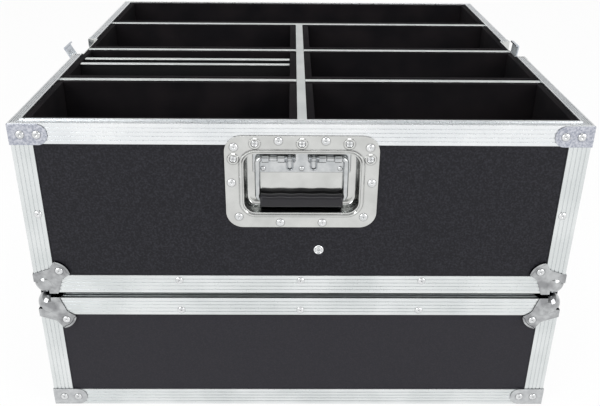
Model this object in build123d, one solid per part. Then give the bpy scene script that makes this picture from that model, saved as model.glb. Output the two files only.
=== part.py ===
from build123d import *
import math
import os

# Case body
CASE_WIDTH = 660.0
CASE_DEPTH = 660.0
BASE_HEIGHT = 225.0
LID_HEIGHT = 172.0
PANEL_THICKNESS = 9.0

# How far a cut runs past the face it opens, and how close a picked corner lies
CUT_OVERRUN = 1.0
PICK_DISTANCE = 0.2

# Aluminium edge angles and rim rails, with fine grooves along their faces
ANGLE_LEG = 25.0
ANGLE_WALL = 1.5
ANGLE_END_GAP = 0.2
GROOVE_COUNT = 4
GROOVE_WIDTH = 1.2
GROOVE_DEPTH = 0.6
LIP_WIDTH = 2.0
LIP_RISE = 1.5
LIP_PLAY = 0.7
LIP_SKIRT = 18.0
LEDGE_GROOVE_COUNT = 3
LEDGE_GROOVE_DEPTH = 0.8

# Ball corners, flat corner braces and rivets
BALL_RADIUS = 16.0
BALL_INSET = 12.0
PLATE_THICKNESS = 1.2
PETAL_CENTRE = 25.0
PETAL_RADIUS = 20.2
PETAL_FOOT = 27.0
PETAL_WAIST = (34.5, 20.0)
PETAL_WAIST_RADIUS = 6.0
PETAL_TIP_RADIUS = 2.5
PETAL_END_ANGLE = 39.0
PETAL_RIVET = 32.0
PETAL_RIM_WIDTH = 2.4
PETAL_RIM_HEIGHT = 0.6
STACK_GAP = 0.3
BRACE_LENGTH = 43.0
BRACE_DROP = 1.0
BRACE_END_RADIUS = 12.0
BRACE_RIVETS = (12.5, 31.0)
RIVET_RADIUS = 5.1
RIVET_HEIGHT = 1.8
RIVET_SIDES = 8
RIVET_TAPER = 40.0
RAIL_RIVET_PITCH = 151.0
RAIL_RIVET_HEIGHT = 18.0
POST_RIVET_HEIGHT = 110.0
POST_RIVET_INSET = 17.5

# Dividers, lift-out partitions and foam linings
ROW_CENTRES = (-163.0, -13.0, 155.0)
DIVIDER_THICKNESS = 9.0
CAP_WALL = 1.0
CAP_LEG = 10.0
JOINT_PLAY = 0.2
FOAM_THICKNESS = 10.0
FOAM_DROP = 2.0
FOAM_GAP = 0.3
LID_PAD_THICKNESS = 25.0
PARTITION_THICKNESS = 5.0
PARTITION_YS = (-89.0, -64.0)
PARTITION_DROP = 0.5
PARTITION_PLAY = 0.5
PARTITION_CAP_LEG = 6.0
BRACKET_LEG = 25.0
BRACKET_WALL = 2.0
BRACKET_HEIGHT = 40.0
BRACKET_CENTRE = 62.0
BRACKET_SCREW = 17.0
SCREW_RADIUS = 6.5
SCREW_HEIGHT = 1.5

# Recessed spring handles, front and back
HANDLE_WIDTH = 178.0
HANDLE_HEIGHT = 117.0
HANDLE_CORNER = 20.0
HANDLE_TOP_DROP = 13.5
HANDLE_OPENING = (135.0, 75.5)
HANDLE_OPENING_DROP = 1.25
HANDLE_OPENING_CORNER = 14.0
HANDLE_DEPTH = 17.0
HANDLE_DRAFT = 3.0
HANDLE_FLOOR_RADIUS = 5.0
BEAD_MARGIN = 1.8
BEAD_WIDTH = 3.4
BEAD_HEIGHT = 1.5
BEAD_SLOPE = 1.1
FLANGE_RIVET_INSET = 6.2
FLANGE_MARK_INSET = 9.5
FLANGE_RIVET_XS = (27.0, 25.0)
FLANGE_SHOULDER_INSET = (11.0, 14.0)
FLANGE_SIDE_INSET = 7.3
FLANGE_FOOT_INSET = (15.0, 14.0)
FLANGE_MARK_X = 54.0
FLANGE_SIDE_MARK = (10.0, 30.0)
TRAY_WALL = 1.2
TRAY_PLAY = 0.3
BAIL_RADIUS = 3.25
BAIL_HALF_WIDTH = 52.0
BAIL_DROP = 52.2
BAIL_BEND = 5.5
BAIL_STUB_END = 7.0
BAIL_PIVOT_RISE = 26.5
BAIL_PIVOT_INSET = 9.0
GRIP_LENGTH = 98.0
GRIP_HEIGHT = 20.7
GRIP_DEPTH = 14.0
GRIP_CORNER = 6.0
GRIP_END_CHAMFER = 1.5
KNUCKLE_CENTRES = (24.0, 42.5)
KNUCKLE_WIDTH = 8.0
KNUCKLE_WALL = 1.6
HINGE_PLATE_HALF_WIDTH = 57.0
HINGE_PLATE_BELOW = 20.0
HINGE_PLATE_WALL = 1.5
SHAFT_PLAY = 0.05
SPRING_CENTRE = 14.0
SPRING_LENGTH = 11.0
SPRING_WALL = 1.4
SPRING_PLAY = 0.3
SPRING_LEG_RADIUS = 1.0
SPRING_LEG_LENGTH = 14.0
ROSETTE_RADIUS = 7.0
ROSETTE_RING = 2.6
ROSETTE_HEIGHT = 0.9

# Butterfly latches, one at mid-length of each side
LATCH_OPENING = 86.0
LATCH_FLANGE = 13.0
LATCH_CORNER = 12.0
LATCH_DEPTH = 13.0
LATCH_BASE_HEIGHT = 70.0
LATCH_LID_HEIGHT = 48.0
LATCH_PIVOT_DROP = 57.0
LATCH_PIVOT_INSET = 7.5
LATCH_PIN_RADIUS = 2.0
BRACKET_PLATE_WALL = 1.5
LATCH_BASE_RIVET_DROP = 31.0
LATCH_LID_RIVET_DROP = 22.0
LATCH_RIVET_X = 31.0
BRACKET_SEAT_GAP = 2.0
LATCH_EAR_CENTRE = 19.6
LATCH_EAR_WALL = 2.0
LATCH_EAR_RADIUS = 4.5
CRADLE_HALF_WIDTH = 17.0
CRADLE_WALL = 1.4
CRADLE_GAP = 0.3
CRADLE_FOOT = 1.5
CRADLE_TOP = 44.0
CRADLE_EAR_RADIUS = 3.5
CRADLE_FLANGE_FRONT = 6.5
CLAW_HALF_WIDTH = 14.5
CLAW_WALL = 2.0
CLAW_FACE = 7.0
CLAW_REACH = 66.0
CLAW_LENGTH = 53.0
CLAW_HOOK = 5.5
CLAW_TRAVEL = 5.0
CLAW_BEND = 3.0
SPINDLE_HEIGHT = 26.0
SPINDLE_RADIUS = 3.0
SPINDLE_COLLAR_RADIUS = 6.0
SPINDLE_HEAD_RADIUS = 4.0
SPINDLE_HEAD_LENGTH = 0.9
SPINDLE_END_PLAY = 0.1
CAM_RADIUS = 9.0
CAM_PLAY = 0.8
CAM_FLANGE_RADIUS = 12.5
CAM_FLANGE_WALL = 0.8
WING_PIN_RADIUS = 1.5
WING_PIN_INSET = 3.4
WING_KNUCKLE_RADIUS = 2.3
WING_THICKNESS = 2.4
WING_LENGTH = 22.0
WING_HALF_WIDTH = 20.0
WING_EAR_INNER = 4.2
WING_EAR_OUTER = 6.2
WING_EAR_MARGIN = 0.5
WING_SIDE_PLAY = 0.2
WING_NECK = 9.0
WING_NOTCH = (3.0, 5.0)
LATCH_REST_TILT = {"left": 28.0, "right": 6.0}
CATCH_LIP_REACH = 9.5
CATCH_HEIGHT = 26.0
CATCH_HALF_WIDTH = 17.0
CATCH_LIFT = 0.5

# Derived places
SKIN = ANGLE_WALL + PANEL_THICKNESS
BALL_PROUD = BALL_RADIUS - BALL_INSET
BASE_BOTTOM = LID_HEIGHT + 2 * BALL_PROUD + STACK_GAP
INNER_X = CASE_WIDTH / 2 - SKIN
INNER_Y = CASE_DEPTH / 2 - SKIN
FACES = {
    "front": (Location((0, -CASE_DEPTH / 2, 0), (0, 0, 0)), CASE_WIDTH),
    "right": (Location((CASE_WIDTH / 2, 0, 0), (0, 0, 90)), CASE_DEPTH),
    "back": (Location((0, CASE_DEPTH / 2, 0), (0, 0, 180)), CASE_WIDTH),
    "left": (Location((-CASE_WIDTH / 2, 0, 0), (0, 0, -90)), CASE_DEPTH),
}
BASE_SEAT = Location((0, 0, BASE_BOTTOM))
LID_SEAT = Location((0, 0, LID_HEIGHT), (0, 180, 0))


def block(x0, x1, y0, y1, z0, z1):
    """Box between two corners."""
    size = Box(x1 - x0, y1 - y0, z1 - z0)
    return Pos((x0 + x1) / 2, (y0 + y1) / 2, (z0 + z1) / 2) * size


def solids_of(shapes):
    """One compound of all the separate solids in a list of shapes."""
    return Compound(children=[solid for shape in shapes for solid in shape.solids()])


def save(name, *shapes):
    """Write one named piece, or a group of like pieces, to its file."""
    export_step(solids_of(shapes), f"parts/{name}.step")


def rod_along_x(radius, x0, x1, y, z):
    """Round rod along X."""
    return Pos((x0 + x1) / 2, y, z) * Rot(0, 90, 0) * Cylinder(radius, x1 - x0)


def rod_along_y(radius, x, y0, y1, z):
    """Round rod along Y."""
    return Pos(x, (y0 + y1) / 2, z) * Rot(90, 0, 0) * Cylinder(radius, y1 - y0)


def slab_on_face(outline, y_front, y_rear):
    """Outline drawn in X and Z, made solid between two depths behind a face."""
    return Pos(0, y_rear, 0) * extrude(Plane.XZ * outline, y_rear - y_front)


def grooved(profile, faces):
    """Cut the fine longitudinal grooves into the outer faces of a section."""
    pitch = ANGLE_LEG / (GROOVE_COUNT + 1)
    for place in faces:
        for index in range(GROOVE_COUNT):
            cut = Rectangle(GROOVE_WIDTH, 2 * GROOVE_DEPTH)
            profile -= place * Pos((index + 1) * pitch, 0) * cut
    return profile


def angle_section():
    """L section with its outer corner at the origin and legs along X and Y."""
    outer = Rectangle(ANGLE_LEG, ANGLE_LEG, align=(Align.MIN, Align.MIN))
    inner = Pos(ANGLE_WALL, ANGLE_WALL) * outer
    return grooved(outer - inner, (Rot(0, 0, 0), Rot(0, 0, 90)))


def edge_angles():
    """Four angles round the closed face, each ending at the ball corners."""
    pieces = []
    for place, length in FACES.values():
        run = length - 2 * ANGLE_LEG
        piece = Pos(-run / 2, 0, 0) * extrude(Plane.YZ * angle_section(), run)
        pieces.append(place * piece)
    return pieces


def corner_angles(height):
    """Four upright angles from the ball corners to the rim rails."""
    run = height - 2 * ANGLE_LEG
    upright = Pos(0, 0, ANGLE_LEG) * extrude(angle_section(), run)
    return [place * upright for place in corner_places()]


def corner_places():
    """Places of the four upright edges, with the inward sides along X and Y."""
    half_x = CASE_WIDTH / 2
    half_y = CASE_DEPTH / 2
    corners = ((-half_x, -half_y), (half_x, -half_y), (half_x, half_y), (-half_x, half_y))
    return [Location((x, y, 0), (0, 0, 90 * turn)) for turn, (x, y) in enumerate(corners)]


def base_rail_section():
    """Rim rail of the base: outer flange, ledge, and the raised lip inside it."""
    points = [
        (0, -ANGLE_LEG),
        (0, 0),
        (SKIN, 0),
        (SKIN, LIP_RISE),
        (SKIN + LIP_WIDTH, LIP_RISE),
        (SKIN + LIP_WIDTH, -LIP_SKIRT),
        (SKIN, -LIP_SKIRT),
        (SKIN, -ANGLE_WALL),
        (ANGLE_WALL, -ANGLE_WALL),
        (ANGLE_WALL, -ANGLE_LEG),
    ]
    section = grooved(make_face(Polyline(*points, close=True)), [Rot(0, 0, -90)])
    pitch = SKIN / (LEDGE_GROOVE_COUNT + 1)
    for index in range(LEDGE_GROOVE_COUNT):
        cut = Rectangle(GROOVE_WIDTH, 2 * LEDGE_GROOVE_DEPTH)
        section -= Pos((index + 1) * pitch, 0) * cut
    return section


def lid_rail_depth():
    """Thickness of the lid rail's ledge, which holds the groove for the lip."""
    return ANGLE_WALL + LIP_RISE + LIP_PLAY


def lid_rail_section():
    """Mouth rail of the lid: outer flange, and a step that takes the base's lip."""
    step = LIP_RISE + LIP_PLAY
    ledge = SKIN - LIP_WIDTH
    points = [
        (0, -ANGLE_LEG),
        (0, 0),
        (ledge, 0),
        (ledge, -step),
        (SKIN + LIP_WIDTH, -step),
        (SKIN + LIP_WIDTH, -LIP_SKIRT),
        (SKIN, -LIP_SKIRT),
        (SKIN, -lid_rail_depth()),
        (ANGLE_WALL, -lid_rail_depth()),
        (ANGLE_WALL, -ANGLE_LEG),
    ]
    return grooved(make_face(Polyline(*points, close=True)), [Rot(0, 0, -90)])


def rim_rail(section, face, height, latch_height):
    """One mitred rail along a face; the side rails stop at the latch dish."""
    place, length = FACES[face]
    depth = SKIN + LIP_WIDTH
    half = length / 2
    rail = Pos(-half, 0, height) * extrude(Plane.YZ * section, length)
    plan = Polyline((-half, 0), (half, 0), (half - depth, depth), (-half + depth, depth), close=True)
    tall = ANGLE_LEG + LIP_RISE
    rail &= Pos(0, 0, height - ANGLE_LEG) * extrude(make_face(plan), tall)
    if face in ("left", "right"):
        rail -= latch_cutter(height, latch_height)
    return place * rail


def latch_cutter(height, latch_height):
    """Room that a latch dish takes in the rail, panel and lining behind it."""
    half = LATCH_OPENING / 2 + TRAY_WALL + TRAY_PLAY
    rear = LATCH_DEPTH + TRAY_WALL + TRAY_PLAY
    low = height - latch_height - TRAY_WALL - TRAY_PLAY
    return block(-half, half, -CUT_OVERRUN, rear, low, height + LIP_RISE + CUT_OVERRUN)


def handle_cutter():
    """Room that a handle dish takes in the panel and the lining behind it."""
    rear = HANDLE_DEPTH + TRAY_WALL + TRAY_PLAY
    return slab_on_face(opening_grown(TRAY_WALL + TRAY_PLAY), -CUT_OVERRUN, rear)


def handle_centre():
    """Height of the handle flange's centre above the base's underside."""
    return BASE_HEIGHT - HANDLE_TOP_DROP - HANDLE_HEIGHT / 2


def handle_opening_centre():
    """Height of the middle of the handle recess."""
    return handle_centre() - HANDLE_OPENING_DROP


def tray_cutters():
    """Every dish's room in the base, in the base's own frame."""
    cutters = [FACES[face][0] * handle_cutter() for face in ("front", "back")]
    latch = latch_cutter(BASE_HEIGHT, LATCH_BASE_HEIGHT)
    return cutters + [FACES[face][0] * latch for face in ("left", "right")]


def case_panels(height, rail_depth, cutters):
    """Five laminated boards: four walls, and the closed board between them."""
    half_x = CASE_WIDTH / 2 - ANGLE_WALL
    half_y = CASE_DEPTH / 2 - ANGLE_WALL
    low = ANGLE_WALL
    high = height - rail_depth
    walls = {
        "front": block(-INNER_X, INNER_X, -half_y, -INNER_Y, low, high),
        "back": block(-INNER_X, INNER_X, INNER_Y, half_y, low, high),
        "left": block(-half_x, -INNER_X, -half_y, half_y, low, high),
        "right": block(INNER_X, half_x, -half_y, half_y, low, high),
    }
    nick = block(ANGLE_WALL, SKIN, ANGLE_WALL, SKIN, ANGLE_WALL, SKIN)
    for face in ("left", "right"):
        for place in corner_places():
            walls[face] -= place * nick
    for cutter in cutters:
        walls = {face: wall - cutter for face, wall in walls.items()}
    closed = block(-INNER_X, INNER_X, -INNER_Y, INNER_Y, low, low + PANEL_THICKNESS)
    return walls, closed


def petal_outline():
    """Flared petal of a ball corner, lying diagonally on one face."""
    edge = -PLATE_THICKNESS
    spread = math.radians(PETAL_END_ANGLE)
    ends = []
    for angle in (math.pi / 4 - spread, math.pi / 4, math.pi / 4 + spread):
        x = PETAL_CENTRE + PETAL_RADIUS * math.cos(angle)
        y = PETAL_CENTRE + PETAL_RADIUS * math.sin(angle)
        ends.append((x, y))
    waist_x, waist_y = PETAL_WAIST
    lower = Polyline((edge, edge), (PETAL_FOOT, edge), (waist_x, waist_y), ends[0])
    tip = ThreePointArc(*ends)
    upper = Polyline(ends[2], (waist_y, waist_x), (edge, PETAL_FOOT), (edge, edge))
    outline = make_face([lower, tip, upper])
    waists = corners_near(outline, (PETAL_WAIST, PETAL_WAIST[::-1]))
    outline = fillet(waists, PETAL_WAIST_RADIUS)
    return fillet(corners_near(outline, (ends[0], ends[2])), PETAL_TIP_RADIUS)


def corners_near(outline, spots):
    """Corners of a flat outline that lie at the given x and y spots."""
    return [
        corner
        for corner in outline.vertices()
        if min(math.dist((corner.X, corner.Y), spot) for spot in spots) < PICK_DISTANCE
    ]


def petal_rim():
    """Raised rim along the tip of a petal."""
    inner = Pos(PETAL_CENTRE, PETAL_CENTRE) * Circle(PETAL_RADIUS - PETAL_RIM_WIDTH)
    far = 3 * PETAL_CENTRE
    chord = PETAL_RADIUS * math.cos(math.radians(PETAL_END_ANGLE))
    root = Rot(0, 0, 45) * Pos(PETAL_CENTRE * math.sqrt(2) + chord - far / 2, 0) * Rectangle(far, far)
    return petal_outline() - inner - root


def ball_corner():
    """Pressed ball with three riveted petals, its corner at the origin."""
    petal = petal_outline()
    depth = PLATE_THICKNESS + ANGLE_WALL
    rim = petal_rim()
    raised = PLATE_THICKNESS + PETAL_RIM_HEIGHT
    plates = []
    for plane, way in ((Plane.XY, (0, 0, -1)), (Plane.YZ, (-1, 0, 0)), (Plane.ZX, (0, -1, 0))):
        plate = Pos(Vector(*way) * PLATE_THICKNESS) * extrude(plane * petal, depth)
        ridge = Pos(Vector(*way) * raised) * extrude(plane * rim, raised)
        plates.append(plate + ridge)
    far = 3 * PETAL_CENTRE
    shell = plates[0] + plates[1] + plates[2]
    shell -= block(-far, BALL_RADIUS, -far, BALL_RADIUS, -far, BALL_RADIUS)
    centre = (BALL_INSET, BALL_INSET, BALL_INSET)
    ball = Plane(origin=centre, x_dir=(1, 1, 1), z_dir=(1, -1, 0)) * Sphere(BALL_RADIUS)
    inside = block(ANGLE_WALL, far, ANGLE_WALL, far, ANGLE_WALL, far)
    nick = block(ANGLE_WALL, SKIN, ANGLE_WALL, SKIN, ANGLE_WALL, SKIN)
    piece = shell + (ball - (inside - nick)) - (inside - nick)
    start = ANGLE_LEG - ANGLE_END_GAP
    piece -= block(start, far, 0, ANGLE_LEG, 0, ANGLE_LEG)
    piece -= block(0, ANGLE_LEG, start, far, 0, ANGLE_LEG)
    return piece - block(0, ANGLE_LEG, 0, ANGLE_LEG, start, far)


def corner_brace(height):
    """Flat brace bent round the upright edge at the rim, with rounded ends."""
    top = height - BRACE_DROP
    leg = Rectangle(BRACE_LENGTH + PLATE_THICKNESS, ANGLE_LEG, align=(Align.MIN, Align.MAX))
    far_corners = leg.vertices().sort_by(Axis.X)[-2:]
    leg = Pos(-PLATE_THICKNESS, top) * fillet(far_corners, BRACE_END_RADIUS)
    front = slab_on_face(leg, -PLATE_THICKNESS, 0)
    side = extrude(Plane.YZ * leg, -PLATE_THICKNESS)
    return front + side


def rivet():
    """Low domed head that seats on a face and stands out along -Y."""
    head = RegularPolygon(RIVET_RADIUS, RIVET_SIDES)
    return extrude(Plane.XZ * head, RIVET_HEIGHT, taper=RIVET_TAPER)


def face_rivets(spots):
    """Heads at (face, x, z, lift) spots, on whatever stands that far out."""
    return [FACES[face][0] * Pos(x, -lift, z) * rivet() for face, x, z, lift in spots]


def closed_face_rivets(height_inset):
    """Heads under the closed face, along the flange of each edge angle."""
    heads = []
    flat_head = Rot(90, 0, 0) * rivet()
    for place, _ in FACES.values():
        for step in (-1, 0, 1):
            spot = Pos(step * RAIL_RIVET_PITCH, height_inset, 0)
            heads.append(place * spot * flat_head)
    return heads


def case_rivets(height, posts):
    """All heads of one half of the case: edges, corners, braces and posts."""
    spots = []
    for face, (_, length) in FACES.items():
        half = length / 2
        for step in (-1, 0, 1):
            spots.append((face, step * RAIL_RIVET_PITCH, RAIL_RIVET_HEIGHT, 0))
        for side in (-1, 1):
            petal_x = side * (half - PETAL_RIVET)
            spots.append((face, petal_x, PETAL_RIVET, PLATE_THICKNESS))
            for inset in BRACE_RIVETS:
                brace_z = height - BRACE_DROP - ANGLE_LEG / 2
                spots.append((face, side * (half - inset), brace_z, PLATE_THICKNESS))
            if posts:
                spots.append((face, side * (half - POST_RIVET_INSET), POST_RIVET_HEIGHT, 0))
    heads = face_rivets(spots) + closed_face_rivets(RAIL_RIVET_HEIGHT)
    petal_head = Pos(PETAL_RIVET, PETAL_RIVET, -PLATE_THICKNESS) * Rot(90, 0, 0) * rivet()
    return heads + [place * petal_head for place in corner_places()]


def rows():
    """Front and rear board faces that bound each row of compartments."""
    half = DIVIDER_THICKNESS / 2
    starts = [-INNER_Y] + [y + half for y in ROW_CENTRES]
    ends = [y - half for y in ROW_CENTRES] + [INNER_Y]
    return list(zip(starts, ends))


def compartments():
    """Each compartment as x0, x1, y0, y1 between bare boards."""
    half = DIVIDER_THICKNESS / 2
    cells = []
    for y0, y1 in rows()[:-1]:
        cells.append((-INNER_X, -half, y0, y1))
        cells.append((half, INNER_X, y0, y1))
    y0, y1 = rows()[-1]
    return cells + [(-INNER_X, INNER_X, y0, y1)]


def rim_relief():
    """Space under and behind the lip rails and the divider caps."""
    skirt = BASE_HEIGHT - LIP_SKIRT - FOAM_GAP
    rim = LIP_WIDTH + FOAM_GAP
    top = BASE_HEIGHT + LIP_RISE + CUT_OVERRUN
    ring = block(-INNER_X, INNER_X, -INNER_Y, INNER_Y, skirt, top)
    return ring - block(-INNER_X + rim, INNER_X - rim, -INNER_Y + rim, INNER_Y - rim, skirt, top)


def board_top():
    """Top of every divider board, under its cap."""
    return BASE_HEIGHT - CAP_WALL


def middle_height():
    """Height at which crossing boards are halved into each other."""
    return (SKIN + board_top()) / 2


def cross_divider(index, relief, cutters):
    """Board across the case, halved from the top where the centre board passes."""
    centre = ROW_CENTRES[index]
    half = DIVIDER_THICKNESS / 2
    board = block(-INNER_X, INNER_X, centre - half, centre + half, SKIN, board_top())
    if index < len(ROW_CENTRES) - 1:
        slot = half + JOINT_PLAY
        cap = slot + CAP_WALL
        room = CAP_LEG + JOINT_PLAY
        middle = middle_height()
        board -= block(-slot, slot, centre - half, centre + half, middle, board_top())
        board -= block(-cap, cap, centre - half, centre + half, board_top() - room, board_top())
    board -= relief
    for cutter in cutters:
        board -= cutter
    return board


def centre_divider(relief, cutters):
    """Board from the front wall to the rear cross divider, halved from below."""
    half = DIVIDER_THICKNESS / 2
    rear = ROW_CENTRES[-1] - half
    board = block(-half, half, -INNER_Y, rear, SKIN, board_top())
    for centre in ROW_CENTRES[:-1]:
        slot = half + JOINT_PLAY
        board -= block(-half, half, centre - slot, centre + slot, SKIN, middle_height())
    leg = CAP_WALL + JOINT_PLAY
    board -= block(-half, half, rear - leg, rear, board_top() - CAP_LEG - JOINT_PLAY, board_top())
    board -= relief
    for cutter in cutters:
        board -= cutter
    return board


def cap_rail(length, board, leg):
    """Aluminium U section over a board edge, along X from the origin."""
    outer = Rectangle(board + 2 * CAP_WALL, leg + CAP_WALL)
    inner = Pos(0, -CAP_WALL) * Rectangle(board, leg + CAP_WALL)
    section = fillet((outer - inner).vertices().sort_by(Axis.Y)[-2:], CAP_WALL / 2)
    lowered = Pos(0, -(leg + CAP_WALL) / 2) * section
    return extrude(Plane.YZ * lowered, length)


def cross_caps():
    """Caps of the cross dividers, broken where the centre cap runs through."""
    reach = INNER_X - LIP_WIDTH - FOAM_GAP
    gap = DIVIDER_THICKNESS / 2 + CAP_WALL + JOINT_PLAY
    notch = CASE_WIDTH / 2 - (LATCH_DEPTH + TRAY_WALL + TRAY_PLAY)
    caps = []
    for index, centre in enumerate(ROW_CENTRES):
        end = notch if abs(centre) < LATCH_OPENING / 2 else reach
        spans = [(-end, -gap), (gap, end)]
        if index == len(ROW_CENTRES) - 1:
            spans = [(-end, end)]
        for x0, x1 in spans:
            cap = cap_rail(x1 - x0, DIVIDER_THICKNESS, CAP_LEG)
            caps.append(Pos(x0, centre, BASE_HEIGHT) * cap)
    return caps


def centre_cap():
    """One cap from the front lip to the rear cross divider's cap."""
    start = -INNER_Y + LIP_WIDTH + FOAM_GAP
    end = ROW_CENTRES[-1] - DIVIDER_THICKNESS / 2 - CAP_WALL - JOINT_PLAY
    cap = Rot(0, 0, 90) * cap_rail(end - start, DIVIDER_THICKNESS, CAP_LEG)
    return Pos(0, start, BASE_HEIGHT) * cap


def linings(relief, dishes, rooms):
    """Foam pads of every bay: on its floor, on plain walls, and behind the dishes."""
    floors = []
    plain = []
    recessed = []
    low = SKIN + FOAM_GAP
    seat = low + FOAM_THICKNESS + FOAM_GAP
    top = BASE_HEIGHT - FOAM_DROP
    cap_room = CAP_WALL + FOAM_GAP
    for x0, x1, y0, y1 in compartments():
        x0, x1, y0, y1 = x0 + FOAM_GAP, x1 - FOAM_GAP, y0 + FOAM_GAP, y1 - FOAM_GAP
        floors.append(block(x0, x1, y0, y1, low, low + FOAM_THICKNESS))
        inner_y0 = y0 + FOAM_THICKNESS + FOAM_GAP
        inner_y1 = y1 - FOAM_THICKNESS - FOAM_GAP
        pads = [
            block(x0, x1, y0, y0 + FOAM_THICKNESS, seat, top),
            block(x0, x1, y1 - FOAM_THICKNESS, y1, seat, top),
            block(x0, x0 + FOAM_THICKNESS, inner_y0, inner_y1, seat, top),
            block(x1 - FOAM_THICKNESS, x1, inner_y0, inner_y1, seat, top),
        ]
        under_caps = block(x0, x1, y0, y1, BASE_HEIGHT - CAP_WALL - CAP_LEG - FOAM_GAP, top)
        under_caps -= block(x0 + cap_room, x1 - cap_room, y0 + cap_room, y1 - cap_room, SKIN, top)
        for pad in pads:
            pad = pad - under_caps - relief
            whole = pad.volume
            for cutter in dishes:
                pad -= cutter
            kind = plain if math.isclose(pad.volume, whole) else recessed
            for room in rooms:
                pad -= room
            kind.append(pad)
    return floors, plain, recessed


def divider_brackets():
    """Small angles that fix the board ends to the walls, with their spots."""
    half = DIVIDER_THICKNESS / 2
    leg = BRACKET_LEG
    low = BRACKET_CENTRE - BRACKET_HEIGHT / 2
    high = BRACKET_CENTRE + BRACKET_HEIGHT / 2
    bracket = block(half, half + leg, SKIN, SKIN + BRACKET_WALL, low, high)
    bracket += block(half, half + BRACKET_WALL, SKIN, SKIN + leg, low, high)
    spots = [("front", 0.0)]
    spots += [("right", y) for y in ROW_CENTRES]
    spots += [("left", -y) for y in ROW_CENTRES]
    brackets = [FACES[face][0] * Pos(x, 0, 0) * bracket for face, x in spots]
    head = extrude(Plane.XZ * Circle(SCREW_RADIUS), SCREW_HEIGHT, taper=RIVET_TAPER)
    screw_x = half + BRACKET_SCREW
    screws = [
        FACES[face][0] * Pos(x + screw_x, ANGLE_WALL, BRACKET_CENTRE) * head
        for face, x in spots
    ]
    return brackets, screws


def partition(y):
    """Lift-out board between the foam faces of the second row's left bay."""
    x0 = -INNER_X + FOAM_THICKNESS + FOAM_GAP + PARTITION_PLAY
    x1 = -DIVIDER_THICKNESS / 2 - FOAM_GAP - FOAM_THICKNESS - PARTITION_PLAY
    low = SKIN + FOAM_THICKNESS + 2 * FOAM_GAP
    top = BASE_HEIGHT - PARTITION_DROP
    half = PARTITION_THICKNESS / 2
    board = block(x0, x1, y - half, y + half, low, top - CAP_WALL)
    cap = Pos(x0, y, top) * cap_rail(x1 - x0, PARTITION_THICKNESS, PARTITION_CAP_LEG)
    return board, cap


def handle_dish():
    """Pressed dish: rounded flange, rolled bead and a drafted tray."""
    flange = Pos(0, handle_centre()) * RectangleRounded(HANDLE_WIDTH, HANDLE_HEIGHT, HANDLE_CORNER)
    opening = opening_grown(0)
    tray = opening_grown(TRAY_WALL)
    dish = slab_on_face(flange, -PLATE_THICKNESS, ANGLE_WALL)
    rail_low = BASE_HEIGHT - ANGLE_LEG
    dish -= block(-CASE_WIDTH, CASE_WIDTH, 0, SKIN, rail_low, BASE_HEIGHT)
    dish += drafted(tray, 0, HANDLE_DEPTH + TRAY_WALL, HANDLE_FLOOR_RADIUS + TRAY_WALL)
    dish -= drafted(opening, -PLATE_THICKNESS, HANDLE_DEPTH, HANDLE_FLOOR_RADIUS)
    return dish + handle_bead() + rosettes()


def opening_grown(grow):
    """Outline of the handle recess, larger by the same amount all round."""
    wide, tall = HANDLE_OPENING
    corner = HANDLE_OPENING_CORNER + grow
    return Pos(0, handle_opening_centre()) * RectangleRounded(wide + 2 * grow, tall + 2 * grow, corner)


def handle_bead():
    """Raised bead pressed round the handle recess, a little way out from it."""
    ring = opening_grown(BEAD_MARGIN + BEAD_WIDTH) - opening_grown(BEAD_MARGIN)
    bead = slab_on_face(ring, -PLATE_THICKNESS - BEAD_HEIGHT, 0)
    return chamfer(bead.faces().sort_by(Axis.Y)[0].edges(), BEAD_SLOPE)


def drafted(outline, y_front, y_rear, floor_radius):
    """Pocket that narrows with depth and turns round into its floor."""
    depth = y_rear - y_front
    pocket = Pos(0, y_front, 0) * extrude(Plane.XZ * outline, -depth, taper=HANDLE_DRAFT)
    return fillet(pocket.faces().sort_by(Axis.Y)[-1].edges(), floor_radius)


def handle_spots():
    """Rivets and stamped rosettes on the handle flange, as x and z."""
    mid = handle_centre()
    half = HANDLE_WIDTH / 2
    top = mid + HANDLE_HEIGHT / 2
    low = mid - HANDLE_HEIGHT / 2
    top_x, low_x = FLANGE_RIVET_XS
    shoulder_x, shoulder_z = FLANGE_SHOULDER_INSET
    foot_x, foot_z = FLANGE_FOOT_INSET
    mark_inset, mark_rise = FLANGE_SIDE_MARK
    rivets = []
    marks = [(0, top - FLANGE_MARK_INSET)]
    for side in (-1, 1):
        rivets += [
            (side * top_x, top - FLANGE_RIVET_INSET),
            (side * (half - shoulder_x), top - shoulder_z),
            (side * (half - FLANGE_SIDE_INSET), mid),
            (side * (half - foot_x), low + foot_z),
            (side * low_x, low + FLANGE_RIVET_INSET),
        ]
        marks += [
            (side * FLANGE_MARK_X, top - FLANGE_MARK_INSET),
            (side * (half - mark_inset), mid + mark_rise),
        ]
    return rivets, marks


def rosettes():
    """Round stamped bosses with a sunk centre, on the flange of the dish."""
    boss = extrude(Plane.XZ * Circle(ROSETTE_RADIUS), ROSETTE_HEIGHT, taper=RIVET_TAPER)
    sunk = extrude(Plane.XZ * Circle(ROSETTE_RADIUS - ROSETTE_RING), ROSETTE_HEIGHT)
    mark = boss - sunk
    _, marks = handle_spots()
    placed = [Pos(x, -PLATE_THICKNESS, z) * mark for x, z in marks]
    return placed[0] + placed[1:]


def bail_pivot():
    """Depth and height of the handle's pivot line."""
    return BAIL_PIVOT_INSET, handle_centre() + BAIL_PIVOT_RISE


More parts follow.
